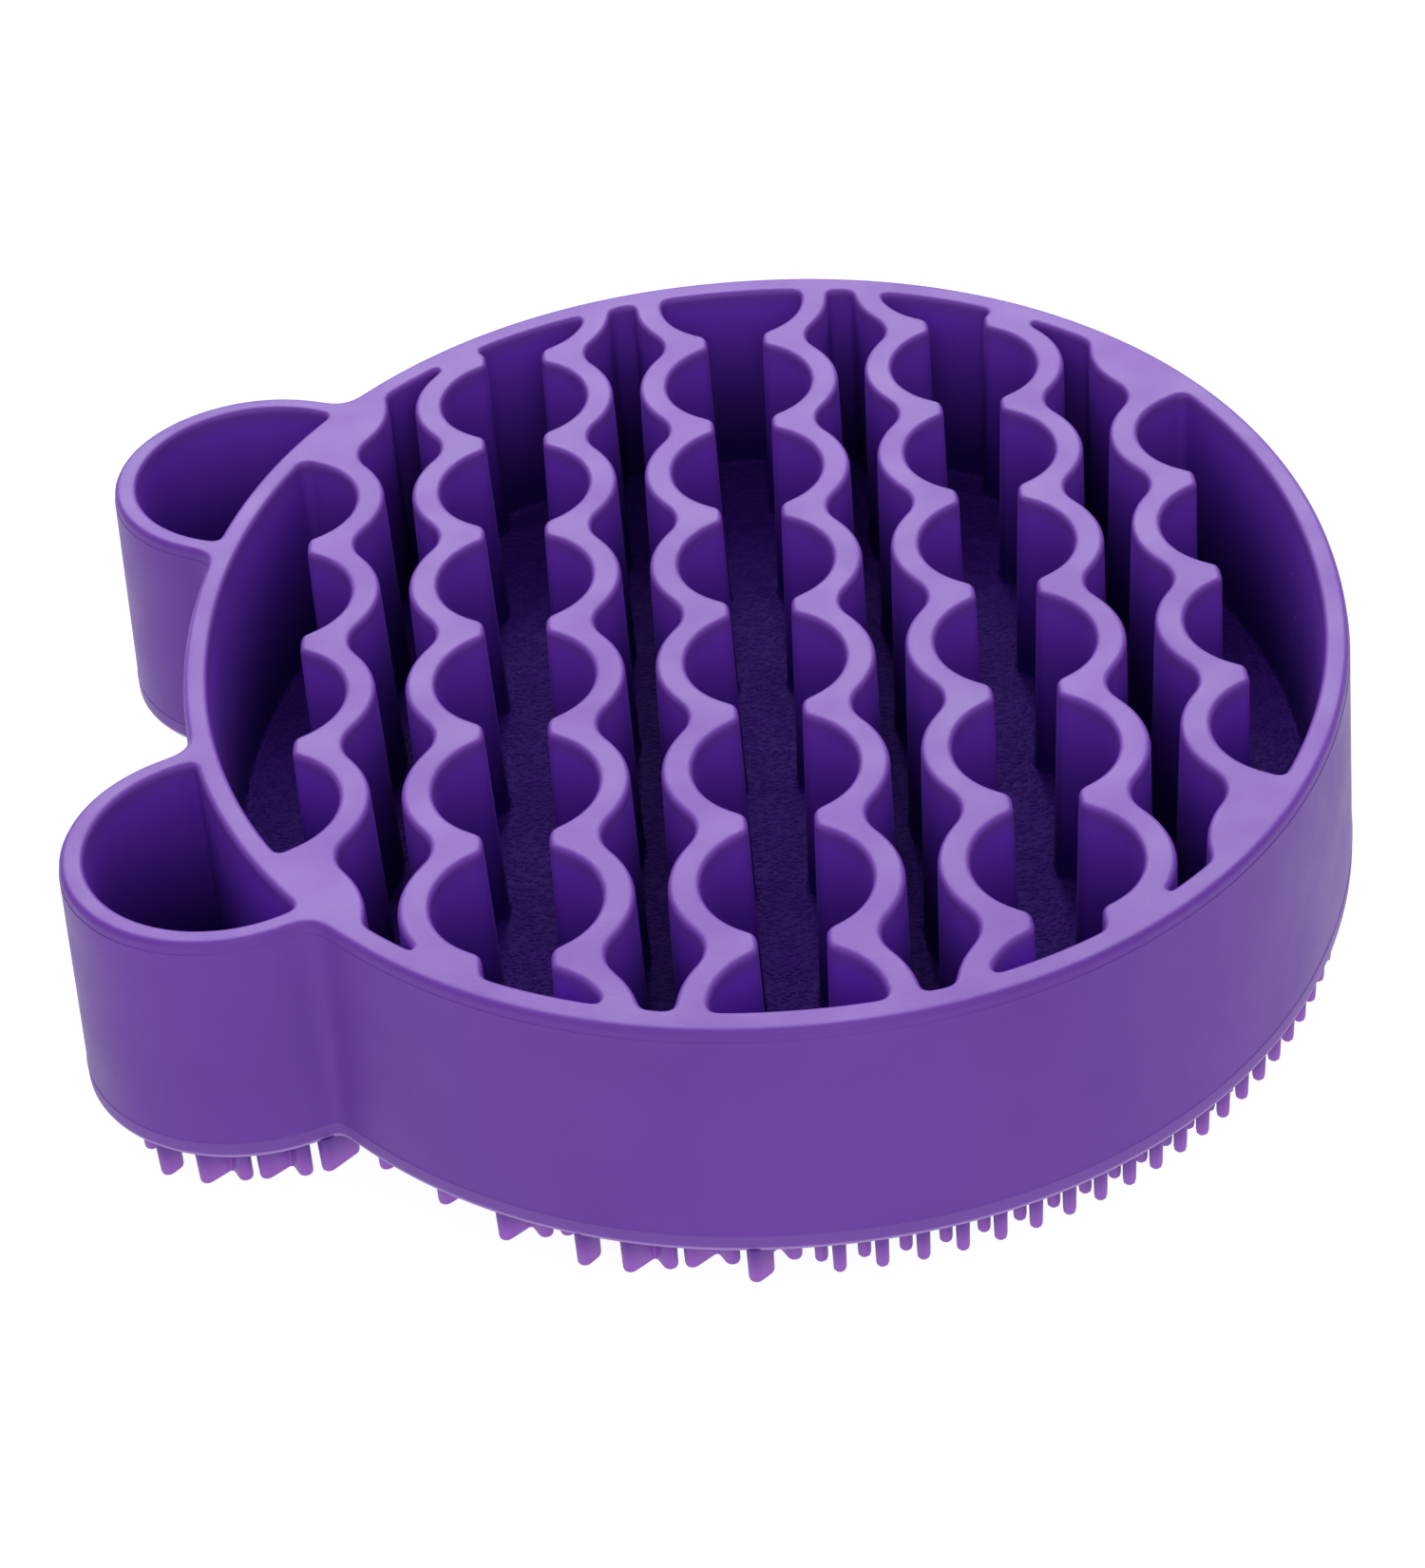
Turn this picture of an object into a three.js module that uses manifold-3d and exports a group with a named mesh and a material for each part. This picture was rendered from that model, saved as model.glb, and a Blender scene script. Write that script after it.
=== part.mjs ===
// A one-piece silicone brush-cleaning pad and brush holder, shaped like a bear's head with two ear cups.
// The moulding is divided into its working features: base plate, head wall, two ear cups, eight wavy
// dividers, and the mats of fins and pins underneath. Millimetres, +Z up, standing on the tips at Z = 0,
// origin under the middle of the bounding box. +X runs from the ears to the chin, +Y along the slots.
import * as THREE from "three";
import { mergeVertices } from "three/addons/utils/BufferGeometryUtils.js";
import Module from "manifold-3d";

const wasm = await Module();
wasm.setup();

// Heights
const TIP_LENGTH = 4.8; // fins and pins
const WEB_THICKNESS = 0.6; // skin that carries the fins and pins
const FLOOR_THICKNESS = 2.6; // skin and base plate together
const HEIGHT = 31.4;
const PLATE_BOTTOM = TIP_LENGTH + WEB_THICKNESS;
const FLOOR_TOP = TIP_LENGTH + FLOOR_THICKNESS;

// Plan at the top face
const HEAD_HALF_X = 62.0;
const HEAD_HALF_Y = 70.0;
const HEAD_EXPONENT = 2.08; // a superellipse, a little squarer than an ellipse
const SIDE_WALL = 2.6;
const END_WALL = 3.3;
const EAR_OFFSET_X = -55.9; // from the middle of the head
const EAR_OFFSET_Y = 34.3;
const EAR_RADIUS = 16.5;
const BASE_SPREAD = 1.2; // how much wider the walls are at the base
const EDGE = 0.6; // chamfer on the outer top edge
const BASE_EDGE = 1.0; // chamfer on the outer bottom edge
const GAP = 0.3; // between pieces that meet on a cut face
const OVERSHOOT = 1; // how far a cutting solid passes the faces that it cuts

// Slots and dividers
const SLOTS_Y = -0.6; // the waves are laid out from here, a little in front of the head's middle
const HOLE_PITCH = 18.7; // along a slot
const HOLE_RADIUS = 8.45;
const SLOT_HALF_WIDTH = 3.3;
const SLOT_SPACING = 26.4;
const DIVIDER_THICKNESS = 3.2;
const WAVE_FILLET = 3.85; // hollow of the wave, between two holes
const POCKET_HALF_LENGTH = 36.2;
const STEPS_PER_PITCH = 10;

// Underside
const MAT_GROW = 0; // of the skin that carries the mats, from the top outline
const MAT_MARGIN = 0.4; // from the edge of the skin to the nearest fin or pin
const EAR_MAT_MARGIN = 0.7; // from the head's skin to the nearest fin under an ear
const FIN_PITCH_X = 6.1;
const FIN_PITCH_Y = 5.8;
const FIN_WIDTH = 5.3;
const FIN_DEPTH = 4.0;
const FIN_THICKNESS = 1.9;
const FIN_ROW_Y = 1.1; // front of the middle row
const PIN_WIDTH = 1.1;
const PIN_PITCH = 6.1;
const MAT_SPLIT_X = 4.3; // fins on the ear side of it, pins on the chin side

// The box reaches from the ears' far side to the chin, so the head lies to the chin side of its middle.
const HEAD_X = (EAR_RADIUS - EAR_OFFSET_X - HEAD_HALF_X) / 2;
const HEAD = new THREE.Vector2(HEAD_X, 0);
const EARS = { front: earCentre(-1), back: earCentre(1) };

const silicone = new THREE.MeshStandardMaterial({ color: 0x8659c4, roughness: 0.6, metalness: 0 });

function earCentre(side) {
  return new THREE.Vector2(HEAD_X + EAR_OFFSET_X, side * EAR_OFFSET_Y);
}

// Outlines, as lists of Vector2, anticlockwise

function superellipse(halfX, halfY, count = 96) {
  const points = [];
  for (let i = 0; i < count; i++) {
    const angle = (2 * Math.PI * (i + 0.5)) / count;
    const c = Math.cos(angle);
    const s = Math.sin(angle);
    const reach = Math.pow(
      Math.pow(Math.abs(c) / halfX, HEAD_EXPONENT) + Math.pow(Math.abs(s) / halfY, HEAD_EXPONENT),
      -1 / HEAD_EXPONENT,
    );
    points.push(new THREE.Vector2(HEAD.x + reach * c, HEAD.y + reach * s));
  }
  return points;
}

function headOutline(grow) {
  return superellipse(HEAD_HALF_X + grow, HEAD_HALF_Y + grow);
}

function earOutline(side, grow, count = 40) {
  const points = [];
  for (let i = 0; i < count; i++) {
    const angle = (2 * Math.PI * i) / count;
    const spoke = new THREE.Vector2(Math.cos(angle), Math.sin(angle)).multiplyScalar(EAR_RADIUS + grow);
    points.push(spoke.add(EARS[side]));
  }
  return points;
}

// Solids

function toSolid(geometry) {
  geometry.deleteAttribute("normal");
  geometry.deleteAttribute("uv");
  const merged = mergeVertices(geometry, 1e-4);
  return new wasm.Manifold(
    new wasm.Mesh({
      numProp: 3,
      vertProperties: merged.attributes.position.array,
      triVerts: new Uint32Array(merged.index.array),
    }),
  );
}

function prism(points, bottom, top) {
  const shape = new THREE.Shape(points);
  const geometry = new THREE.ExtrudeGeometry(shape, { depth: top - bottom, bevelEnabled: false });
  return toSolid(geometry.translate(0, 0, bottom));
}

// A closed stack of outlines with equal counts: levels is a list of [outline, z] from the bottom up.
function stack(levels) {
  const count = levels[0][0].length;
  const positions = levels.flatMap(([outline, z]) => outline.flatMap((p) => [p.x, p.y, z]));
  const index = [];
  for (let level = 0; level + 1 < levels.length; level++) {
    for (let i = 0; i < count; i++) {
      const a = level * count + i;
      const b = level * count + ((i + 1) % count);
      index.push(a, b, b + count, a, b + count, a + count);
    }
  }
  const cap = THREE.ShapeUtils.triangulateShape(levels[0][0], []);
  const last = (levels.length - 1) * count;
  for (const [a, b, c] of cap) {
    index.push(c, b, a, last + a, last + b, last + c);
  }
  const geometry = new THREE.BufferGeometry();
  geometry.setAttribute("position", new THREE.Float32BufferAttribute(positions, 3));
  geometry.setIndex(index);
  return toSolid(geometry);
}

// How far the outer wall stands out at a height, from its straight taper.
function spread(z) {
  return (BASE_SPREAD * (HEIGHT - z)) / (HEIGHT - TIP_LENGTH);
}

// The outside of a wall, from the floor to the chamfered top edge.
function wallBlock(outline) {
  const shoulder = HEIGHT - EDGE;
  return stack([
    [outline(spread(FLOOR_TOP)), FLOOR_TOP],
    [outline(spread(shoulder)), shoulder],
    [outline(-EDGE), HEIGHT],
  ]);
}

function plateBlock(outline) {
  const shoulder = PLATE_BOTTOM + BASE_EDGE;
  return stack([
    [outline(spread(PLATE_BOTTOM) - BASE_EDGE), PLATE_BOTTOM],
    [outline(spread(shoulder)), shoulder],
    [outline(spread(FLOOR_TOP)), FLOOR_TOP],
  ]);
}

// Half-width of a wide slot at a place along it: round holes joined by a straight slot.
function holeReach(y) {
  const fromHole = offsetFrom(y, HOLE_PITCH / 2);
  return Math.max(SLOT_HALF_WIDTH, Math.sqrt(Math.max(0, HOLE_RADIUS ** 2 - fromHole ** 2)));
}

// Distance from the slot's middle to the divider's far side: arcs around the holes, hollow between them.
function waveReach(y) {
  const outer = HOLE_RADIUS + DIVIDER_THICKNESS;
  const fromCusp = offsetFrom(y, 0);
  const filletX = Math.sqrt((outer + WAVE_FILLET) ** 2 - (HOLE_PITCH / 2) ** 2);
  const tangentY = ((HOLE_PITCH / 2) * WAVE_FILLET) / (outer + WAVE_FILLET);
  if (Math.abs(fromCusp) < tangentY) {
    return filletX - Math.sqrt(WAVE_FILLET ** 2 - fromCusp ** 2);
  }
  return Math.sqrt(outer ** 2 - offsetFrom(y, HOLE_PITCH / 2) ** 2);
}

// Signed distance to the nearest place that lies at start plus a whole number of pitches.
function offsetFrom(y, start) {
  const turns = (y - SLOTS_Y - start) / HOLE_PITCH;
  return (turns - Math.round(turns)) * HOLE_PITCH;
}

// Places along a divider: steps finer than the waves, with a point on every corner of the slot.
function placesAlong(halfLength) {
  const cornerY = HOLE_PITCH / 2 - Math.sqrt(HOLE_RADIUS ** 2 - SLOT_HALF_WIDTH ** 2);
  const rows = Math.ceil(halfLength / HOLE_PITCH);
  const places = new Set([-halfLength, halfLength]);
  for (let row = -rows; row <= rows; row++) {
    for (let i = 0; i < STEPS_PER_PITCH; i++) {
      places.add((row + i / STEPS_PER_PITCH) * HOLE_PITCH);
    }
    places.add(row * HOLE_PITCH - cornerY);
    places.add(row * HOLE_PITCH + cornerY);
  }
  const kept = [...places].filter((place) => Math.abs(place) <= halfLength);
  return kept.sort((a, b) => a - b).map((place) => SLOTS_Y + place);
}

const insideWall = prism(
  superellipse(HEAD_HALF_X - SIDE_WALL - GAP, HEAD_HALF_Y - END_WALL - GAP),
  FLOOR_TOP,
  HEIGHT,
);

// The divider beside the slot at slotX; side is the direction from the slot to it.
// slotSide is its face on that slot, and waveSide its face on the narrow gap beyond.
function dividerFrom(slotSide, slotX, side) {
  const waveSide = placesAlong(HEAD_HALF_Y).map((y) => new THREE.Vector2(slotX + side * waveReach(y), y));
  const outline = side > 0 ? [...waveSide, ...slotSide.reverse()] : [...slotSide, ...waveSide.reverse()];
  return prism(outline, FLOOR_TOP, HEIGHT).intersect(insideWall);
}

function holeFace(slotX, side, halfLength) {
  return placesAlong(halfLength).map((y) => new THREE.Vector2(slotX + side * holeReach(y), y));
}

function divider(slotX, side) {
  return dividerFrom(holeFace(slotX, side, HEAD_HALF_Y), slotX, side);
}

// The outermost divider is solid out to the wall at both ends of the pocket that it closes.
function endDivider(slotX, side) {
  const wallX = slotX - side * HOLE_PITCH;
  const face = [
    new THREE.Vector2(wallX, SLOTS_Y - HEAD_HALF_Y),
    new THREE.Vector2(wallX, SLOTS_Y - POCKET_HALF_LENGTH),
    ...holeFace(slotX, side, POCKET_HALF_LENGTH),
    new THREE.Vector2(wallX, SLOTS_Y + POCKET_HALF_LENGTH),
    new THREE.Vector2(wallX, SLOTS_Y + HEAD_HALF_Y),
  ];
  return dividerFrom(face, slotX, side);
}

function headWall() {
  const inside = superellipse(HEAD_HALF_X - SIDE_WALL, HEAD_HALF_Y - END_WALL);
  return wallBlock(headOutline).subtract(prism(inside, FLOOR_TOP - OVERSHOOT, HEIGHT + OVERSHOOT));
}

function earCup(side) {
  const below = FLOOR_TOP - OVERSHOOT;
  const above = HEIGHT + OVERSHOOT;
  const inside = prism(earOutline(side, -SIDE_WALL), below, above);
  const head = stack([
    [headOutline(spread(below) + GAP), below],
    [headOutline(spread(above) + GAP), above],
  ]);
  return wallBlock((grow) => earOutline(side, grow))
    .subtract(inside)
    .subtract(head);
}

function basePlate() {
  return plateBlock(headOutline)
    .add(plateBlock((grow) => earOutline("front", grow)))
    .add(plateBlock((grow) => earOutline("back", grow)));
}

// Fins and pins: a web with upright prisms joined to it

function chevron(x, y) {
  const half = FIN_WIDTH / 2;
  const arm = FIN_THICKNESS;
  return [
    new THREE.Vector2(x - half, y),
    new THREE.Vector2(x - half + arm, y),
    new THREE.Vector2(x, y + FIN_DEPTH - arm),
    new THREE.Vector2(x + half - arm, y),
    new THREE.Vector2(x + half, y),
    new THREE.Vector2(x, y + FIN_DEPTH),
  ];
}

function square(x, y) {
  const half = PIN_WIDTH / 2;
  return [
    new THREE.Vector2(x - half, y - half),
    new THREE.Vector2(x + half, y - half),
    new THREE.Vector2(x + half, y + half),
    new THREE.Vector2(x - half, y + half),
  ];
}

function inHead(p, grow) {
  const x = Math.abs(p.x - HEAD.x) / (HEAD_HALF_X + grow);
  const y = Math.abs(p.y - HEAD.y) / (HEAD_HALF_Y + grow);
  return x ** HEAD_EXPONENT + y ** HEAD_EXPONENT < 1;
}

// A lattice of outlines, kept where every point passes the test.
function lattice(outlineAt, pitchX, pitchY, keep) {
  const kept = [];
  const columns = Math.ceil(HEAD_HALF_X / pitchX) + 4;
  const rows = Math.ceil(HEAD_HALF_Y / pitchY);
  for (let column = -columns; column <= columns; column++) {
    for (let row = -rows; row <= rows; row++) {
      const outline = outlineAt(MAT_SPLIT_X + (column + 0.5) * pitchX, FIN_ROW_Y + row * pitchY);
      if (outline.every(keep)) {
        kept.push(outline);
      }
    }
  }
  return kept;
}

function mat(web, outlines) {
  const middle = TIP_LENGTH + WEB_THICKNESS / 2;
  return outlines.reduce((solid, outline) => solid.add(prism(outline, 0, middle)), web);
}

function headWeb() {
  return prism(headOutline(MAT_GROW), TIP_LENGTH, PLATE_BOTTOM);
}

function halfPlane(direction) {
  const near = MAT_SPLIT_X + (direction * GAP) / 2;
  const far = direction * 2 * HEAD_HALF_Y;
  const points = [
    new THREE.Vector2(Math.min(near, far), -2 * HEAD_HALF_Y),
    new THREE.Vector2(Math.max(near, far), -2 * HEAD_HALF_Y),
    new THREE.Vector2(Math.max(near, far), 2 * HEAD_HALF_Y),
    new THREE.Vector2(Math.min(near, far), 2 * HEAD_HALF_Y),
  ];
  return prism(points, TIP_LENGTH - OVERSHOOT, PLATE_BOTTOM + OVERSHOOT);
}

function headFinMat() {
  const keep = (p) => p.x < MAT_SPLIT_X - GAP && inHead(p, MAT_GROW - MAT_MARGIN);
  const fins = lattice(chevron, FIN_PITCH_X, FIN_PITCH_Y, keep);
  return mat(headWeb().intersect(halfPlane(-1)), fins);
}

function pinMat() {
  const keep = (p) => p.x > MAT_SPLIT_X + GAP && inHead(p, MAT_GROW - MAT_MARGIN);
  const pins = lattice(square, PIN_PITCH, PIN_PITCH, keep);
  return mat(headWeb().intersect(halfPlane(1)), pins);
}

function earFinMat(side) {
  const reach = EAR_RADIUS + MAT_GROW - MAT_MARGIN;
  const keep = (p) => !inHead(p, MAT_GROW + EAR_MAT_MARGIN) && p.distanceTo(EARS[side]) < reach;
  const head = prism(headOutline(MAT_GROW + GAP), TIP_LENGTH - OVERSHOOT, PLATE_BOTTOM + OVERSHOOT);
  const web = prism(earOutline(side, MAT_GROW), TIP_LENGTH, PLATE_BOTTOM).subtract(head);
  return mat(web, lattice(chevron, FIN_PITCH_X, FIN_PITCH_Y, keep));
}

// The assembly

function toMesh(name, solid) {
  const { numProp, numVert, vertProperties, triVerts } = solid.getMesh();
  const positions = new Float32Array(numVert * 3);
  for (let i = 0; i < numVert; i++) {
    positions.set(vertProperties.subarray(i * numProp, i * numProp + 3), i * 3);
  }
  const geometry = new THREE.BufferGeometry();
  geometry.setAttribute("position", new THREE.BufferAttribute(positions, 3));
  geometry.setIndex(new THREE.BufferAttribute(triVerts, 1));
  geometry.computeVertexNormals();
  const mesh = new THREE.Mesh(geometry, silicone.clone());
  mesh.name = name;
  return mesh;
}

const pad = new THREE.Group();
pad.name = "brush_cleaning_pad";

pad.add(toMesh("base_plate", basePlate()));
pad.add(toMesh("head_wall", headWall()));
for (const side of ["front", "back"]) {
  pad.add(toMesh(`ear_cup_${side}`, earCup(side)));
  pad.add(toMesh(`fin_mat_ear_${side}`, earFinMat(side)));
}

// Dividers are numbered from the ears to the chin; slot -2 and slot 2 are the end pockets.
pad.add(toMesh("divider_1", endDivider(HEAD.x - 2 * SLOT_SPACING, 1)));
for (const slot of [-1, 0, 1]) {
  const slotX = HEAD.x + slot * SLOT_SPACING;
  const first = 4 + 2 * slot;
  pad.add(toMesh(`divider_${first}`, divider(slotX, -1)));
  pad.add(toMesh(`divider_${first + 1}`, divider(slotX, 1)));
}
pad.add(toMesh("divider_8", endDivider(HEAD.x + 2 * SLOT_SPACING, -1)));

pad.add(toMesh("fin_mat_head", headFinMat()));
pad.add(toMesh("pin_mat", pinMat()));

export default pad;
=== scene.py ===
"""A one-piece silicone brush-cleaning pad: a bear's head with two ear cups, wavy dividers and, underneath,
chevron fins and round pins. Plans are worked out in millimetres and become meshes in metres."""

import math

import bpy
import numpy as np
from mathutils import Matrix, Vector
from mathutils.geometry import delaunay_2d_cdt

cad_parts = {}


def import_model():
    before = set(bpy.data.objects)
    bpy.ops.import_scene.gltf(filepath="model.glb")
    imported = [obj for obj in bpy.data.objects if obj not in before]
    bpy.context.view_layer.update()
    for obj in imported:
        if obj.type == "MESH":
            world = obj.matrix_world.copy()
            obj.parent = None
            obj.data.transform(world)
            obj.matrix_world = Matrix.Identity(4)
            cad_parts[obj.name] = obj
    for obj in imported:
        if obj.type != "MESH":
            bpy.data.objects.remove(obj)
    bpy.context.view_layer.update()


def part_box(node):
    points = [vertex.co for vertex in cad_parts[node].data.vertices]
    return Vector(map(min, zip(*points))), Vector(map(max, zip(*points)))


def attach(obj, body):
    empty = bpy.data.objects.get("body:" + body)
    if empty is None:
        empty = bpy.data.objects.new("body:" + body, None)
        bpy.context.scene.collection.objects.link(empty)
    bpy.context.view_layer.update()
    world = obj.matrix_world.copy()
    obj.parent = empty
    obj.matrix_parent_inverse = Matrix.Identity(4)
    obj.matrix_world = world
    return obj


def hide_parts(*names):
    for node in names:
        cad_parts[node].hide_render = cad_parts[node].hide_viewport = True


MM = 0.001

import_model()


def box_mm(node):
    """A node's lowest and highest corners, in millimetres."""
    low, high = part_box(node)
    return np.array(low) / MM, np.array(high) / MM


WALL_LOW, WALL_HIGH = box_mm("head_wall")
PIN_LOW, PIN_HIGH = box_mm("pin_mat")

# Heights
TOP = WALL_HIGH[2]
FLOOR = WALL_LOW[2]
TIPS = PIN_LOW[2]
BASE = PIN_HIGH[2] - 0.85  # the underside, below the top of the skin that joins the pins

# Plan at the top face
SPREAD = 1.2  # how much wider the walls are at the base
SPREAD_AT_FLOOR = SPREAD * (TOP - FLOOR) / (TOP - BASE)
HEAD_X = (WALL_LOW[0] + WALL_HIGH[0]) / 2
HEAD_HALF_X = (WALL_HIGH[0] - WALL_LOW[0]) / 2 - SPREAD_AT_FLOOR
HEAD_HALF_Y = (WALL_HIGH[1] - WALL_LOW[1]) / 2 - SPREAD_AT_FLOOR
HEAD_EXPONENT = 2.08
SIDE_WALL = 2.6
END_WALL = 3.3
EAR_RADIUS = 16.5
EAR_X = box_mm("ear_cup_back")[0][0] + SPREAD_AT_FLOOR + EAR_RADIUS
EAR_Y = 34.3

PARTING_HEIGHT = 1.9  # of the mould's parting line, above the underside

# Slots and dividers
SLOT_HALF_WIDTH = (box_mm("divider_5")[0][0] - box_mm("divider_4")[1][0]) / 2
SLOT_SPACING = box_mm("divider_7")[0][0] - box_mm("divider_5")[0][0]
SLOTS_Y = -0.6  # the waves are laid out from here, a little in front of the head's middle
HOLE_PITCH = 18.7
HOLE_RADIUS = 8.45
DIVIDER_THICKNESS = 3.2
WAVE_FILLET = 3.85
POCKET_HALF_LENGTH = 36.2

# Underside
FIN_PITCH_X = 6.1
FIN_PITCH_Y = 5.83
FIN_FIRST = np.array((-1.55, -68.15))  # left front corner of the chevron nearest the front and the pins
FIN_THICKNESS = 1.7
FIN_WIDTH = 5.6
FIN_APEX = np.array((3.6, 3.1))  # middle of the chevron's point, from its left front corner
FIN_INSET = 0.2  # from the edge of the base
FIN_COLUMNS = 12
FIN_ROWS = 26
LONE_FINS = (  # short bars at the front edge, where a whole chevron doesn't fit
    ((-59.7, -48.1), (-59.0, -47.35)),
    ((-43.2, -49.4), (-40.95, -47.2)),
    ((-17.35, -65.85), (-16.55, -65.0)),
    ((-0.65, -70.0), (0.35, -69.1)),
)
PIN_RADIUS = 0.73
PIN_ROW = 1.65
PIN_INSET = 1.5  # first row, from the edge of the base
PIN_STARTS = (2.3, 0.6)  # where even and odd rows begin, along the row
PIN_PITCH_FRONT = 4.25
PIN_PITCH_CHIN = 3.4
PIN_CROWDING = 2.6  # how soon the pitch closes up, in quarters of a row

# Edges: the rounding of the cavities' lips, and the softness of the corners in each plan curve
LIP = 0.65
SLOT_CORNER = 0.6
POCKET_CORNER = 0.5
OUTER_CORNER = 1.5
STEP = 0.8  # between mesh points along a plan curve

# What a face of the body is, which is also its material's number
OUTSIDE, LINING, PEBBLED = range(3)


# Closed plane curves: arrays of points in millimetres, anticlockwise


def superellipse(half_x, half_y, count=1440):
    angle = np.linspace(0, 2 * np.pi, count, endpoint=False)
    c = np.cos(angle)
    s = np.sin(angle)
    n = HEAD_EXPONENT
    reach = ((np.abs(c) / half_x) ** n + (np.abs(s) / half_y) ** n) ** (-1 / n)
    return np.stack((HEAD_X + reach * c, reach * s), axis=1)


def circle(x, y, radius, count=720):
    angle = np.linspace(0, 2 * np.pi, count, endpoint=False)
    return np.stack((x + radius * np.cos(angle), y + radius * np.sin(angle)), axis=1)


def capsule(start, end, radius):
    """The outline of everything within a radius of a straight line."""
    along = math.atan2(end[1] - start[1], end[0] - start[0])
    turn = np.linspace(-math.pi / 2, math.pi / 2, 24)
    cap = np.stack((np.cos(along + turn), np.sin(along + turn)), axis=1) * radius
    return np.concatenate((end + cap, start - cap))


def between(left, right, y):
    """The band between two side curves, given as x at each y."""
    up = np.stack((right, y), axis=1)
    down = np.stack((left, y), axis=1)[::-1]
    return np.concatenate((up, down))


def rectangle(low_x, high_x):
    """A band across the whole part, between two values of x."""
    far = 2 * HEAD_HALF_Y
    return np.array([(low_x, -far), (high_x, -far), (high_x, far), (low_x, far)])


def offset_from(y, start):
    """Signed distance to the nearest place that lies at start plus a whole number of pitches."""
    turns = (y - SLOTS_Y - start) / HOLE_PITCH
    return (turns - np.round(turns)) * HOLE_PITCH


def hole_reach(y):
    """Half-width of a wide slot: round holes joined by a straight slot."""
    round_part = np.sqrt(np.maximum(0, HOLE_RADIUS**2 - offset_from(y, HOLE_PITCH / 2) ** 2))
    return np.maximum(SLOT_HALF_WIDTH, round_part)


def wave_reach(y):
    """From a slot's middle to its divider's far side: arcs around the holes, hollow between them."""
    outer = HOLE_RADIUS + DIVIDER_THICKNESS
    from_cusp = np.abs(offset_from(y, 0))
    fillet_x = math.sqrt((outer + WAVE_FILLET) ** 2 - (HOLE_PITCH / 2) ** 2)
    tangent_y = (HOLE_PITCH / 2) * WAVE_FILLET / (outer + WAVE_FILLET)
    hollow = fillet_x - np.sqrt(np.maximum(0, WAVE_FILLET**2 - from_cusp**2))
    around = np.sqrt(outer**2 - offset_from(y, HOLE_PITCH / 2) ** 2)
    return np.where(from_cusp < tangent_y, hollow, around)


def triangulate(outlines, keep):
    """Triangles of the plane regions whose set of covering outlines keep() accepts."""
    points = [Vector(p) for outline in outlines for p in outline]
    starts = np.cumsum([0] + [len(outline) for outline in outlines])
    faces = [list(range(a, b)) for a, b in zip(starts, starts[1:])]
    places, _, triangles, came_from, _, covers = delaunay_2d_cdt(points, [], faces, 0, 1e-7, True)
    kept = [t for t, cover in zip(triangles, covers) if keep(set(cover))]
    return np.array(places), kept, came_from


def length(curve):
    """The way around a closed curve."""
    return np.linalg.norm(np.roll(curve, -1, axis=0) - curve, axis=1).sum()


def inside(points, curve):
    """Whether each point lies inside a closed curve."""
    ahead = np.roll(curve, -1, axis=0)
    rise = ahead[:, 1] - curve[:, 1]
    slope = (ahead[:, 0] - curve[:, 0]) / np.where(rise == 0, 1, rise)
    x, y = points[:, :1], points[:, 1:]
    crosses = (curve[:, 1] > y) != (ahead[:, 1] > y)
    left_of_curve = x < curve[:, 0] + (y - curve[:, 1]) * slope
    return (crosses & left_of_curve).sum(axis=1) % 2 == 1


def region(outlines, keep):
    """The longest outline around the regions that keep() accepts."""
    places, triangles, _ = triangulate(outlines, keep)
    edges = {(t[i], t[(i + 1) % 3]) for t in triangles for i in range(3)}
    following = {a: b for a, b in edges if (b, a) not in edges}
    loops = []
    while following:
        loop = [min(following)]
        while loop[-1] in following:
            loop.append(following.pop(loop[-1]))
        loops.append(places[loop[:-1]])
    return max(loops, key=length)


def resample(curve, step, turn_weight=0.0):
    """Points at even distances; turn_weight, in millimetres per radian, crowds them where it bends."""
    ahead = np.roll(curve, -1, axis=0) - curve
    sizes = np.linalg.norm(ahead, axis=1)
    heading = np.unwrap(np.arctan2(ahead[:, 1], ahead[:, 0]))
    turns = np.abs(np.diff(heading, append=heading[-1]))
    along = np.concatenate(([0], np.cumsum(sizes + turn_weight * turns)))
    closed = np.concatenate((curve, curve[:1]))
    places = np.linspace(0, along[-1], max(8, round(along[-1] / step)), endpoint=False)
    return np.stack([np.interp(places, along, closed[:, axis]) for axis in (0, 1)], axis=1)


def soften(curve, sigma, stages=8):
    """Rounds the corners of a closed curve: a Gaussian along it, in stages with the points evened out."""
    step = 0.1
    stage_sigma = sigma / math.sqrt(stages)
    reach = math.ceil(3 * stage_sigma / step)
    shifts = range(-reach, reach + 1)
    weights = [math.exp(-0.5 * (shift * step / stage_sigma) ** 2) for shift in shifts]
    for _ in range(stages):
        curve = resample(curve, step)
        curve = sum(w * np.roll(curve, shift, axis=0) for w, shift in zip(weights, shifts)) / sum(weights)
    return curve


def fine(curve, corner):
    """The curve with soft corners, as the points that its mesh uses."""
    return resample(soften(curve, corner), STEP, turn_weight=2.0)


def normals(curve):
    """Unit vectors that point out of the curve."""
    along = np.roll(curve, -1, axis=0) - np.roll(curve, 1, axis=0)
    across = np.stack((along[:, 1], -along[:, 0]), axis=1)
    return across / np.linalg.norm(across, axis=1, keepdims=True)


def room(curve, side):
    """The radius of the largest circle that touches each point, inside (-1) or outside (1) the curve."""
    away = curve[None, :, :] - curve[:, None, :]
    ahead = side * (away * normals(curve)[:, None, :]).sum(axis=2)
    squared = (away**2).sum(axis=2)
    radius = np.where(ahead > 1e-6, squared / np.maximum(2 * ahead, 1e-9), np.inf)
    return radius.min(axis=1)


# The plan of the moulding

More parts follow.
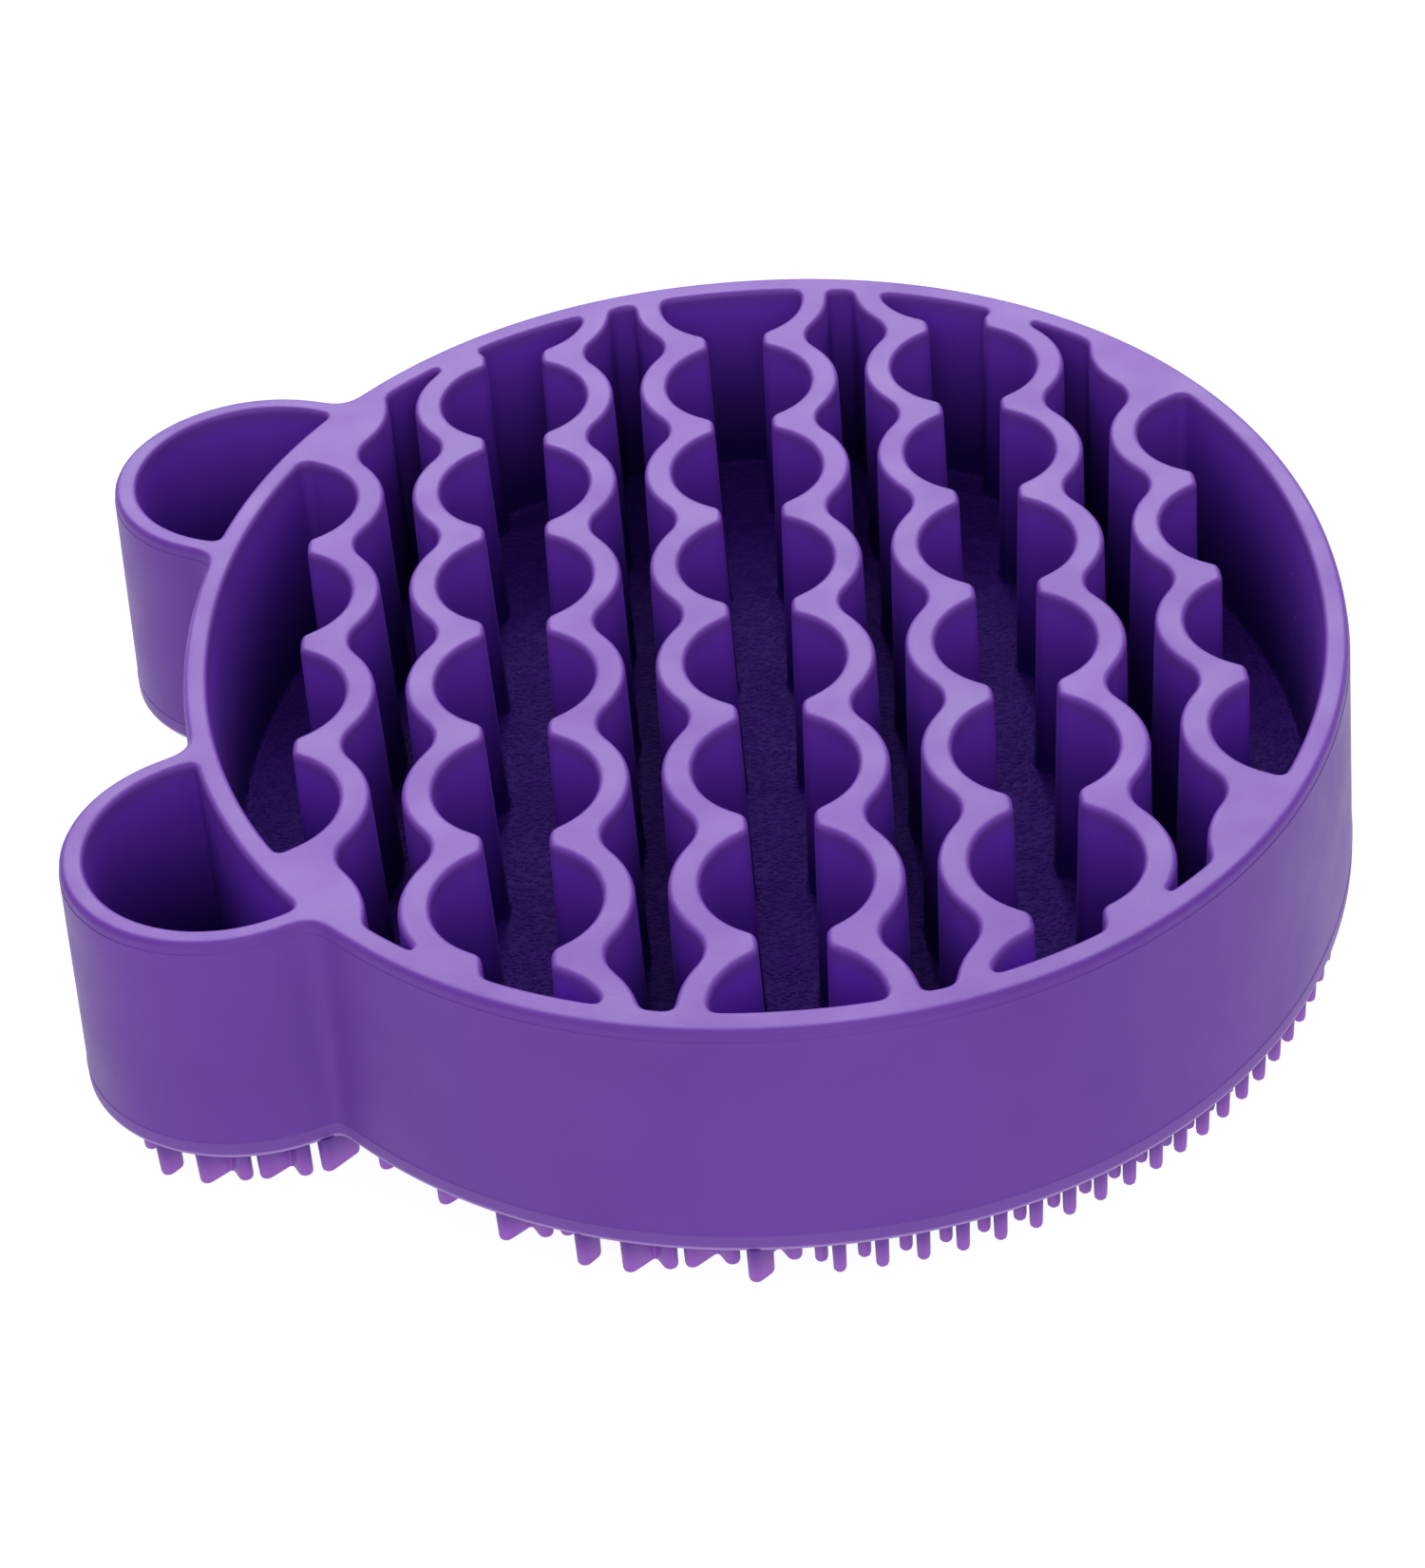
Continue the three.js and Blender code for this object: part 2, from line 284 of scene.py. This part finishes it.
HEAD = superellipse(HEAD_HALF_X, HEAD_HALF_Y)
INSIDE = superellipse(HEAD_HALF_X - SIDE_WALL, HEAD_HALF_Y - END_WALL)


def ear_circle(side, grow):
    return circle(EAR_X, side * EAR_Y, EAR_RADIUS + grow)


def whole_outline(grow):
    head = superellipse(HEAD_HALF_X + grow, HEAD_HALF_Y + grow)
    return region([head, ear_circle(-1, grow), ear_circle(1, grow)], lambda cover: len(cover) > 0)


def clipped_to_wall(band, corner):
    return fine(region([band, INSIDE], lambda cover: len(cover) == 2), corner)


def slot_outline(slot):
    """A wide slot: -1, 0 or 1, from the ears to the chin."""
    y = np.arange(-HEAD_HALF_Y, HEAD_HALF_Y, 0.05)
    x = HEAD_X + slot * SLOT_SPACING
    return clipped_to_wall(between(x - hole_reach(y), x + hole_reach(y), y), SLOT_CORNER)


def gap_outline(slot):
    """The narrow gap between this slot's divider and the next one's."""
    y = np.arange(-HEAD_HALF_Y, HEAD_HALF_Y, 0.05)
    x = HEAD_X + slot * SLOT_SPACING
    return clipped_to_wall(between(x + wave_reach(y), x + SLOT_SPACING - wave_reach(y), y), SLOT_CORNER)


def pocket_outline(side):
    """The pocket between the end divider and the wall, towards the ears (-1) or the chin (1)."""
    y = SLOTS_Y + np.linspace(-POCKET_HALF_LENGTH, POCKET_HALF_LENGTH, 1449)
    x = HEAD_X + side * 2 * SLOT_SPACING
    divider = x - side * hole_reach(y)
    beyond = np.full_like(y, HEAD_X + side * HEAD_HALF_X)
    band = between(divider, beyond, y) if side > 0 else between(beyond, divider, y)
    return clipped_to_wall(band, POCKET_CORNER)


def ear_outline(side):
    return fine(region([ear_circle(side, -SIDE_WALL), HEAD], lambda cover: cover == {0}), POCKET_CORNER)


# Profiles down a wall: (how far it stands out, height) at each ring


def quarter(start, end, leaves_level, count=4):
    """A quarter of an ellipse between two rings, level at its start or at its end."""
    rings = []
    for i in range(count + 1):
        angle = math.pi / 2 * i / count
        shares = (math.sin(angle), 1 - math.cos(angle))
        across, down = shares if leaves_level else shares[::-1]
        rings.append((start[0] + (end[0] - start[0]) * across, start[1] + (end[1] - start[1]) * down))
    return rings


def cavity_profile(taper, fillet):
    """A cavity: rounded lip, walls that close in by the taper, filleted floor."""
    hold = 0.2  # a ring this close keeps the shading of a rounding off the flat beside it
    slope = taper / (TOP - FLOOR)
    return [
        (LIP + hold, TOP),
        *quarter((LIP, TOP), (0, TOP - LIP), True),
        (-slope * hold, TOP - LIP - hold),
        (-taper + slope * hold, FLOOR + fillet + hold),
        *quarter((-taper, FLOOR + fillet), (-taper - fillet, FLOOR), False),
        (-taper - fillet - hold, FLOOR),
    ]


def spread(z):
    """How far the outside stands out at a height, beyond the plan at the top."""
    return SPREAD * (TOP - z) / (TOP - BASE)


def outer_profile():
    """The outside: rounded top edge, a fine step under it, the taper, a parting line, the base's edge."""
    edge = 0.7
    step = 0.08
    step_z = TOP - 1.3
    line = 0.06
    line_z = BASE + PARTING_HEIGHT
    rounding = (0.25, 0.4)
    hold = 0.3
    return [
        (-edge - hold, TOP),
        *quarter((-edge, TOP), (spread(TOP - edge) - step, TOP - edge), True),
        (spread(step_z + step) - step, step_z + step),
        (spread(step_z), step_z),
        (spread(step_z - hold), step_z - hold),
        (spread((TOP + BASE) / 2), (TOP + BASE) / 2),
        (spread(line_z + hold), line_z + hold),
        (spread(line_z + line), line_z + line),
        (spread(line_z) + line, line_z),
        (spread(line_z - line), line_z - line),
        *quarter((SPREAD, BASE + rounding[1]), (SPREAD - rounding[0], BASE), False),
        (SPREAD - rounding[0] - hold, BASE),
    ]


def bristle_profile(inset, rounding):
    """A fin or pin: sunk into the base, flared at its root, rounded at its tip."""
    root = 0.25
    return [
        (root, BASE + 0.3),
        (root, BASE),
        (0, BASE - root * 1.5),
        *quarter((-0.06, TIPS + rounding), (-inset, TIPS), False, count=3),
    ]


# Meshes


class Surface:
    """Vertices and faces of a mesh, gathered ring by ring."""

    def __init__(self):
        self.vertices = []
        self.faces = []
        self.lining = 0  # how many of the faces, from the first, line a cavity

    def add_ring(self, curve, z):
        first = len(self.vertices)
        self.vertices.extend((x, y, z) for x, y in curve)
        return np.arange(first, first + len(curve))

    def loft(self, curve, profile, flip=False):
        """Rings down a profile, facing away from the curve unless flipped; returns the end rings."""
        across = normals(curve)
        inmost = min(0, min(out for out, _ in profile))
        outmost = max(0, max(out for out, _ in profile))
        inwards = inmost * np.minimum(1, 0.8 * room(curve, -1) / max(-inmost, 1e-9))
        outwards = outmost * np.minimum(1, 0.8 * room(curve, 1) / max(outmost, 1e-9))
        rings = []
        for out, z in profile:
            share = out / outmost * outwards if out > 0 else out / min(inmost, -1e-9) * inwards
            moved = curve + across * share[:, None]
            rings.append((self.add_ring(moved, z), moved))
        for (upper, _), (lower, _) in zip(rings, rings[1:]):
            for a, b, c, d in zip(upper, lower, np.roll(lower, -1), np.roll(upper, -1)):
                self.faces.append((d, c, b, a) if flip else (a, b, c, d))
        return rings[0], rings[-1]

    def fill(self, rings, up):
        """A flat face inside the first ring and outside the others."""
        indices = np.concatenate([ring for ring, _ in rings])
        _, triangles, came_from = triangulate([curve for _, curve in rings], lambda cover: cover == {0})
        for triangle in triangles:
            corners = [indices[came_from[v][0]] for v in triangle]
            self.faces.append(tuple(corners if up else corners[::-1]))

    def closed_loft(self, curve, profile):
        """A solid with the curve as its plan."""
        upper, lower = self.loft(curve, profile)
        self.fill([upper], up=True)
        self.fill([lower], up=False)

    def add_copy(self, other, x, y):
        """Another surface, moved in plan."""
        first = len(self.vertices)
        self.vertices.extend((a + x, b + y, c) for a, b, c in other.vertices)
        self.faces.extend(tuple(first + v for v in face) for face in other.faces)

    def mesh(self, name):
        vertices = (np.array(self.vertices) * MM).tolist()
        faces = [[int(v) for v in face] for face in self.faces]
        made = bpy.data.meshes.new(name)
        made.from_pydata(vertices, [], faces)
        kinds = [LINING if i < self.lining else OUTSIDE for i in range(len(faces))]
        made.polygons.foreach_set("material_index", kinds)
        return made


def new_object(name, mesh):
    made = bpy.data.objects.new(name, mesh)
    bpy.context.scene.collection.objects.link(made)
    return made


def prism(outline, bottom, top):
    """A cutting tool with upright sides."""
    tool = Surface()
    tool.closed_loft(outline, [(0, top), (0, bottom)])
    return tool.mesh("tool")


def cut(mesh, tool, operation, name):
    """The boolean of two closed meshes, as a new mesh."""
    whole = new_object("whole", mesh)
    cutter = new_object("cutter", tool)
    boolean = whole.modifiers.new("cut", "BOOLEAN")
    boolean.operation = operation
    boolean.solver = "MANIFOLD"
    boolean.object = cutter
    shown = whole.evaluated_get(bpy.context.evaluated_depsgraph_get())
    made = bpy.data.meshes.new_from_object(shown)
    made.name = name
    bpy.data.objects.remove(whole)
    bpy.data.objects.remove(cutter)
    return made


def moulding():
    """The whole pad without its fins and pins, as one closed surface."""
    surface = Surface()
    wide = cavity_profile(taper=0.5, fillet=0.5)
    narrow = cavity_profile(taper=0.35, fillet=0.3)
    cavities = [(slot_outline(slot), wide) for slot in (-1, 0, 1)]
    cavities += [(gap_outline(slot), narrow) for slot in (-2, -1, 0, 1)]
    cavities += [(pocket_outline(side), wide) for side in (-1, 1)]
    cavities += [(ear_outline(side), wide) for side in (-1, 1)]
    mouths = []
    for outline, profile in cavities:
        mouth, floor = surface.loft(outline, profile, flip=True)
        surface.fill([floor], up=True)
        mouths.append(mouth)
    surface.lining = len(surface.faces)
    outer_top, outer_bottom = surface.loft(fine(whole_outline(0), OUTER_CORNER), outer_profile())
    surface.fill([outer_bottom], up=False)
    surface.fill([outer_top, *mouths], up=True)
    return surface.mesh("moulding")


def divider_band(number):
    """The strip of plan that holds one divider, with its cuts in the open air of the slots and gaps."""
    middle = HEAD_X + (number - 4.5) * SLOT_SPACING / 2
    half = SLOT_SPACING / 4
    return rectangle(middle - half, middle + half)


def body_pieces():
    """The moulding cut into its named features, flush against each other, so that no joint shows."""
    clear = 5
    whole = moulding()
    base_cut = prism(whole_outline(10), BASE - clear, FLOOR + 1.0)
    pieces = {"base_plate": cut(whole, base_cut, "INTERSECT", "base_plate")}
    upper = cut(whole, base_cut, "DIFFERENCE", "upper")
    middle_outline = superellipse(HEAD_HALF_X - SIDE_WALL - 1.0, HEAD_HALF_Y - END_WALL - 1.0)
    for number in range(1, 9):
        band = region([middle_outline, divider_band(number)], lambda cover: len(cover) == 2)
        name = f"divider_{number}"
        pieces[name] = cut(upper, prism(band, BASE, TOP + clear), "INTERSECT", name)
    walls = cut(upper, prism(middle_outline, BASE, TOP + clear), "DIFFERENCE", "walls")
    head_outline = superellipse(HEAD_HALF_X + 3.5, HEAD_HALF_Y + 3.5)
    for name, side in (("ear_cup_front", -1), ("ear_cup_back", 1)):
        ear = region([ear_circle(side, 5), head_outline], lambda cover: cover == {0})
        pieces[name] = cut(walls, prism(ear, BASE, TOP + clear), "INTERSECT", name)
        walls = cut(walls, prism(ear, BASE, TOP + clear), "DIFFERENCE", "head_wall")
    pieces["head_wall"] = walls
    return pieces


# Fins and pins


def chevron():
    """The outline of a fin that points to the back; the left front corner of its box is the origin."""
    radius = FIN_THICKNESS / 2
    fronts = [np.array((radius, radius)), np.array((FIN_WIDTH - radius, radius))]
    return region([capsule(front, FIN_APEX, radius) for front in fronts], lambda cover: len(cover) > 0)


def fin(outline):
    """The surface of one fin."""
    made = Surface()
    rounded = resample(soften(outline, 0.12), 0.55, turn_weight=0.5)
    made.closed_loft(rounded, bristle_profile(0.5, 0.4))
    return made


def fin_mats():
    """A lattice of chevrons, each under the head or an ear if it fits there whole, and the lone bars."""
    grow = SPREAD - FIN_INSET
    limits = {
        "fin_mat_head": superellipse(HEAD_HALF_X + grow, HEAD_HALF_Y + grow),
        "fin_mat_ear_front": ear_circle(-1, grow),
        "fin_mat_ear_back": ear_circle(1, grow),
    }
    mats = {name: Surface() for name in limits}
    outline = chevron()
    template = fin(outline)
    for column in range(FIN_COLUMNS):
        for row in range(FIN_ROWS):
            place = FIN_FIRST + (-column * FIN_PITCH_X, row * FIN_PITCH_Y)
            fitting = [name for name, limit in limits.items() if inside(outline + place, limit).all()]
            if fitting:
                mats[fitting[0]].add_copy(template, *place)
    for start, end in np.array(LONE_FINS):
        under_head = inside(start[None], HEAD)[0]
        mat = mats["fin_mat_head" if under_head else "fin_mat_ear_front"]
        mat.add_copy(fin(capsule(start, end, FIN_THICKNESS / 2)), 0, 0)
    return mats


def pin_row(row):
    """Places along one row, which follows the edge of the base, closer together towards the chin."""
    inset = PIN_INSET + row * PIN_ROW - SPREAD
    whole = superellipse(HEAD_HALF_X - inset, HEAD_HALF_Y - inset, 2880)
    quarter_count = len(whole) // 4
    chin_side = np.roll(whole, quarter_count, axis=0)[: 2 * quarter_count]
    steps = np.linalg.norm(np.diff(chin_side, axis=0), axis=1)
    along = np.concatenate(([0], np.cumsum(steps)))
    reached = PIN_STARTS[row % 2]
    places = []
    while reached < along[-1] - PIN_RADIUS:
        places.append([np.interp(reached, along, chin_side[:, axis]) for axis in (0, 1)])
        from_end = min(reached, along[-1] - reached)
        crowding = min(1, PIN_CROWDING * 2 * from_end / along[-1])
        reached += PIN_PITCH_FRONT + (PIN_PITCH_CHIN - PIN_PITCH_FRONT) * crowding
    return places


def pin_mat():
    template = Surface()
    template.closed_loft(circle(0, 0, PIN_RADIUS, 9), bristle_profile(0.5, 0.5))
    mat = Surface()
    for row in range(int((HEAD_HALF_X - PIN_INSET) / PIN_ROW)):
        for place in pin_row(row):
            mat.add_copy(template, *place)
    return mat


# Materials

SILICONE = (0.128, 0.034, 0.325, 1)
SILICONE_CLOUD = (0.114, 0.029, 0.297, 1)
# Painted light: the pale colour of the outside's foot, a painted highlight for the floor's bounce light.
SILICONE_PAINTED_FOOT_LIGHT = (0.33, 0.21, 0.52, 1)
# Painted bounce light: the more saturated colour of the cavity walls just under the lip.
SILICONE_CAVITY_PAINTED_BOUNCE_LIGHT = (0.145, 0.032, 0.450, 1)
# Painted shade: the dark colour of the cavity floors, which is also the colour the walls darken to with
# depth.
SILICONE_FLOOR_PAINTED_SHADE = (0.022, 0.002, 0.125, 1)
SILICONE_PEBBLE_PAINTED_SHADE = (0.054, 0.009, 0.215, 1)
# Painted shade at the roots of the fins and pins, and a painted glow towards their tips.
SILICONE_ROOT_PAINTED_SHADE = (0.070, 0.009, 0.240, 1)
SILICONE_TIP_PAINTED_GLOW = (0.27, 0.090, 0.47, 1)
SPECK_LIGHT = (0.42, 0.30, 0.60, 1)
SPECK_DARK = (0.05, 0.02, 0.12, 1)


class Nodes:
    """Short names for building a material's nodes."""

    def __init__(self, name):
        self.material = bpy.data.materials.new(name)
        self.material.use_nodes = True
        self.tree = self.material.node_tree
        self.shader = self.tree.nodes["Principled BSDF"]
        self.place = self.new("ShaderNodeTexCoord").outputs["Object"]

    def new(self, kind, **settings):
        node = self.tree.nodes.new(kind)
        for name, value in settings.items():
            setattr(node, name, value)
        return node

    def feed(self, socket, value):
        if isinstance(value, bpy.types.NodeSocket):
            self.tree.links.new(value, socket)
        else:
            socket.default_value = value

    def noise(self, scale, detail):
        node = self.new("ShaderNodeTexNoise")
        self.feed(node.inputs["Vector"], self.place)
        self.feed(node.inputs["Scale"], scale)
        self.feed(node.inputs["Detail"], detail)
        return node.outputs["Fac"]

    def cells(self, scale):
        node = self.new("ShaderNodeTexVoronoi")
        self.feed(node.inputs["Vector"], self.place)
        self.feed(node.inputs["Scale"], scale)
        return node

    def ranged(self, value, low, high, to_low=0.0, to_high=1.0):
        node = self.new("ShaderNodeMapRange")
        names = ("Value", "From Min", "From Max", "To Min", "To Max")
        for name, given in zip(names, (value, low, high, to_low, to_high)):
            self.feed(node.inputs[name], given)
        return node.outputs["Result"]

    def math(self, operation, *values):
        node = self.new("ShaderNodeMath", operation=operation)
        for socket, value in zip(node.inputs, values):
            self.feed(socket, value)
        return node.outputs["Value"]

    def mix(self, share, first, second):
        node = self.new("ShaderNodeMix", data_type="RGBA")
        self.feed(node.inputs["Factor"], share)
        self.feed(node.inputs[6], first)
        self.feed(node.inputs[7], second)
        return node.outputs[2]

    def between_heights(self, start, end, share=1.0):
        """Rises from 0 to the share between two heights, given in millimetres."""
        node = self.new("ShaderNodeSeparateXYZ")
        self.feed(node.inputs["Vector"], self.place)
        return self.ranged(node.outputs["Z"], start * MM, end * MM, 0, share)

    def bump(self, height, depth_mm):
        node = self.new("ShaderNodeBump")
        self.feed(node.inputs["Strength"], 1.0)
        self.feed(node.inputs["Distance"], depth_mm * MM)
        self.feed(node.inputs["Height"], height)
        return node.outputs["Normal"]


def specks(nodes, colour, scale, radius_mm, tint):
    """Dots of one tint in some of the cells."""
    cells = nodes.cells(scale)
    radius = radius_mm * MM * scale
    dot = nodes.ranged(cells.outputs["Distance"], radius * 0.5, radius, 1, 0)
    chance = nodes.new("ShaderNodeSeparateColor")
    nodes.feed(chance.inputs["Color"], cells.outputs["Color"])
    chosen = nodes.math("GREATER_THAN", chance.outputs["Red"], 0.6)
    return nodes.mix(nodes.math("MULTIPLY", dot, chosen), colour, tint)


def dusty(nodes, colour):
    """A little light and dark dust."""
    colour = specks(nodes, colour, 90, 0.16, SPECK_LIGHT)
    return specks(nodes, colour, 37, 0.22, SPECK_DARK)


def finish(nodes, colour, roughness, specular, grain):
    """Satin silicone, with a roughness that wanders a little around the given one."""
    shader = nodes.shader
    uneven = nodes.ranged(nodes.noise(120, 3), 0.3, 0.7, roughness - 0.05, roughness + 0.05)
    nodes.feed(shader.inputs["Base Color"], colour)
    nodes.feed(shader.inputs["Roughness"], uneven)
    nodes.feed(shader.inputs["Normal"], grain)
    shader.inputs["Specular IOR Level"].default_value = specular
    shader.inputs["IOR"].default_value = 1.47
    return nodes.material


def moulded_silicone():
    """The outside and the rims: faintly clouded purple, with painted light on the foot: a little paler
    below the parting line and much paler at the bottom edge, a painted highlight for the floor's bounce
    light.
    """
    nodes = Nodes("moulded_silicone")
    clouds = nodes.ranged(nodes.noise(45, 4), 0.35, 0.65)
    # Painted light: slightly paler below the parting line, and a painted highlight at the bottom edge.
    painted_light_below_line = nodes.between_heights(BASE + 2.1, BASE + 1.8, 0.12)
    edge = nodes.between_heights(BASE + 0.6, BASE + 0.35, 0.9)
    clouded = nodes.mix(clouds, SILICONE_CLOUD, SILICONE)
    with_painted_foot_light = nodes.mix(nodes.math("MAXIMUM", painted_light_below_line, edge), clouded, SILICONE_PAINTED_FOOT_LIGHT)
    return finish(nodes, dusty(nodes, with_painted_foot_light), 0.46, 0.3, nodes.bump(nodes.noise(1800, 2), 0.02))


def cavity_silicone_painted_shade():
    """The walls of the slots and cups, with painted light and shade: more saturated under the lip, for
    light bounced between the walls, and darker with depth, for the deep shade inside the cavities.
    """
    nodes = Nodes("cavity_silicone_painted_shade")
    # Painted bounce light under the lip and painted shade with depth: the wall colour grows more
    # saturated, then darker towards the floor.
    painted_bounce_under_lip = nodes.between_heights(TOP - LIP, TOP - 2.5)
    depth = nodes.between_heights(TOP - 3, FLOOR + 3)
    upper = nodes.mix(painted_bounce_under_lip, SILICONE, SILICONE_CAVITY_PAINTED_BOUNCE_LIGHT)
    colour = nodes.mix(depth, upper, SILICONE_FLOOR_PAINTED_SHADE)
    return finish(nodes, dusty(nodes, colour), 0.5, 0.4, nodes.bump(nodes.noise(1800, 2), 0.02))


def pebbled_silicone_painted_shade():
    """The floors of the slots and cups, spark-eroded in the mould: matt, with a pebble grain; their colour
    is painted shade, much darker than the silicone, with a random grain between two dark tones.
    """
    nodes = Nodes("pebbled_silicone_painted_shade")
    pebbles = nodes.ranged(nodes.cells(1700).outputs["Distance"], 0.1, 0.6, 1, 0)
    # Painted shade: both tones are darkened silicone; the noise between them is random grain.
    colour = nodes.mix(nodes.noise(400, 3), SILICONE_FLOOR_PAINTED_SHADE, SILICONE_PEBBLE_PAINTED_SHADE)
    return finish(nodes, colour, 0.7, 0.12, nodes.bump(pebbles, 0.2))


def bristle_silicone_painted_glow():
    """Fins and pins: painted shade at their roots and painted light towards their tips, a colour gradient
    that stands in for light glowing through the thin silicone and bouncing up from the floor.
    """
    nodes = Nodes("bristle_silicone_painted_glow")
    # Painted light: the colour runs from shaded roots to glowing tips.
    painted_glow_towards_tip = nodes.between_heights(BASE, TIPS + 1)
    colour = nodes.mix(painted_glow_towards_tip, SILICONE_ROOT_PAINTED_SHADE, SILICONE_TIP_PAINTED_GLOW)
    return finish(nodes, colour, 0.5, 0.25, nodes.bump(nodes.noise(2500, 2), 0.02))


def dress(mesh, node, *materials):
    """Makes a mesh the piece that stands for a CAD node; the kinds of its faces pick their materials."""
    kinds = np.zeros(len(mesh.polygons), dtype=np.int32)
    mesh.polygons.foreach_get("material_index", kinds)
    mesh.materials.clear()
    for material in materials:
        mesh.materials.append(material)
    mesh.polygons.foreach_set("material_index", kinds)
    mesh.polygons.foreach_set("use_smooth", [True] * len(mesh.polygons))
    mesh.set_sharp_from_angle(angle=math.radians(35))
    piece = new_object(f"{node}_piece", mesh)
    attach(piece, "root")
    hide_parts(node)


def sort_linings(mesh):
    """Counts the cavities' lips as outside, and their floors, with the fillets, as pebbled."""
    fillet = 0.5
    for face in mesh.polygons:
        if face.material_index == LINING and face.center.z > (TOP - LIP) * MM:
            face.material_index = OUTSIDE
        elif face.material_index == LINING and face.center.z < (FLOOR + fillet) * MM:
            face.material_index = PEBBLED


# Stage, light and camera

VIEW_TARGET = Vector((HEAD_X - 6.5, -31.3, TOP)) * MM
VIEW_AZIMUTH = math.radians(0.25)
VIEW_ELEVATION = math.radians(37.13)
VIEW_ROLL = math.radians(-4.6)
VIEW_DISTANCE = 381.1 * MM
LENS = 86.96
DOME_STRENGTH = 0.81
DOME_STRENGTH_AT_SIDES = 0.4


def stage():
    """A floor of white paper, lit from below like a light table, so that it stays white under the part."""
    floor = bpy.data.meshes.new("floor")
    half = 6
    corners = [(-half, -half, 0), (half, -half, 0), (half, half, 0), (-half, half, 0)]
    floor.from_pydata(corners, [], [(0, 1, 2, 3)])
    made = new_object("floor", floor)
    paper = bpy.data.materials.new("paper")
    paper.use_nodes = True
    shader = paper.node_tree.nodes["Principled BSDF"]
    shader.inputs["Base Color"].default_value = (0.12, 0.12, 0.12, 1)
    shader.inputs["Roughness"].default_value = 0.9
    shader.inputs["Emission Color"].default_value = (1, 1, 1, 1)
    shader.inputs["Emission Strength"].default_value = 0.93
    floor.materials.append(paper)


def softbox(name, place, size, power):
    """A round area light that faces the part; metres and watts."""
    light = bpy.data.lights.new(name, "AREA")
    light.shape = "DISK"
    light.size = size
    light.energy = power
    made = bpy.data.objects.new(name, light)
    made.location = place
    made.rotation_euler = (-Vector(place)).to_track_quat("-Z", "Y").to_euler()
    bpy.context.scene.collection.objects.link(made)


def world():
    """A white dome, dimmer towards the left and the right."""
    made = bpy.data.worlds.new("studio")
    made.use_nodes = True
    tree = made.node_tree
    across = tree.nodes.new("ShaderNodeSeparateXYZ")
    tree.links.new(tree.nodes.new("ShaderNodeTexCoord").outputs["Generated"], across.inputs["Vector"])
    squared = tree.nodes.new("ShaderNodeMath")
    squared.operation = "POWER"
    tree.links.new(across.outputs["X"], squared.inputs[0])
    squared.inputs[1].default_value = 2
    strength = tree.nodes.new("ShaderNodeMapRange")
    tree.links.new(squared.outputs["Value"], strength.inputs["Value"])
    strength.inputs["To Min"].default_value = DOME_STRENGTH
    strength.inputs["To Max"].default_value = DOME_STRENGTH_AT_SIDES
    tree.links.new(strength.outputs["Result"], tree.nodes["Background"].inputs["Strength"])
    tree.nodes["Background"].inputs["Color"].default_value = (1, 1, 1, 1)
    bpy.context.scene.world = made


def lights():
    """The dome, two boxes behind the part and a fill in front."""
    world()
    softbox("back_left_box", (-0.25, 0.85, 0.72), 0.6, 7)
    softbox("back_right_box", (0.25, 0.85, 0.72), 0.6, 7)
    softbox("front_fill", (0.0, -0.9, 0.8), 0.9, 3)


def camera():
    """Looks down on the front of the part, turned a little about its own axis."""
    forward = Vector((
        -math.sin(VIEW_AZIMUTH) * math.cos(VIEW_ELEVATION),
        math.cos(VIEW_AZIMUTH) * math.cos(VIEW_ELEVATION),
        -math.sin(VIEW_ELEVATION),
    ))
    level = Vector((math.cos(VIEW_AZIMUTH), math.sin(VIEW_AZIMUTH), 0))
    right = Matrix.Rotation(-VIEW_ROLL, 3, forward) @ level
    up = right.cross(forward)
    lens = bpy.data.cameras.new("camera")
    lens.lens = LENS
    lens.sensor_width = 36
    made = bpy.data.objects.new("camera", lens)
    turned = Matrix((right, up, -forward)).transposed().to_4x4()
    made.matrix_world = Matrix.Translation(VIEW_TARGET - forward * VIEW_DISTANCE) @ turned
    bpy.context.scene.collection.objects.link(made)
    bpy.context.scene.camera = made


bpy.context.scene.view_settings.view_transform = "Standard"
stage()
lights()
camera()

body_materials = (moulded_silicone(), cavity_silicone_painted_shade(), pebbled_silicone_painted_shade())
for node, mesh in body_pieces().items():
    dress(mesh, node, *body_materials)
    sort_linings(mesh)
bristle_material = bristle_silicone_painted_glow()
for node, mat in {**fin_mats(), "pin_mat": pin_mat()}.items():
    dress(mat.mesh(node), node, bristle_material)
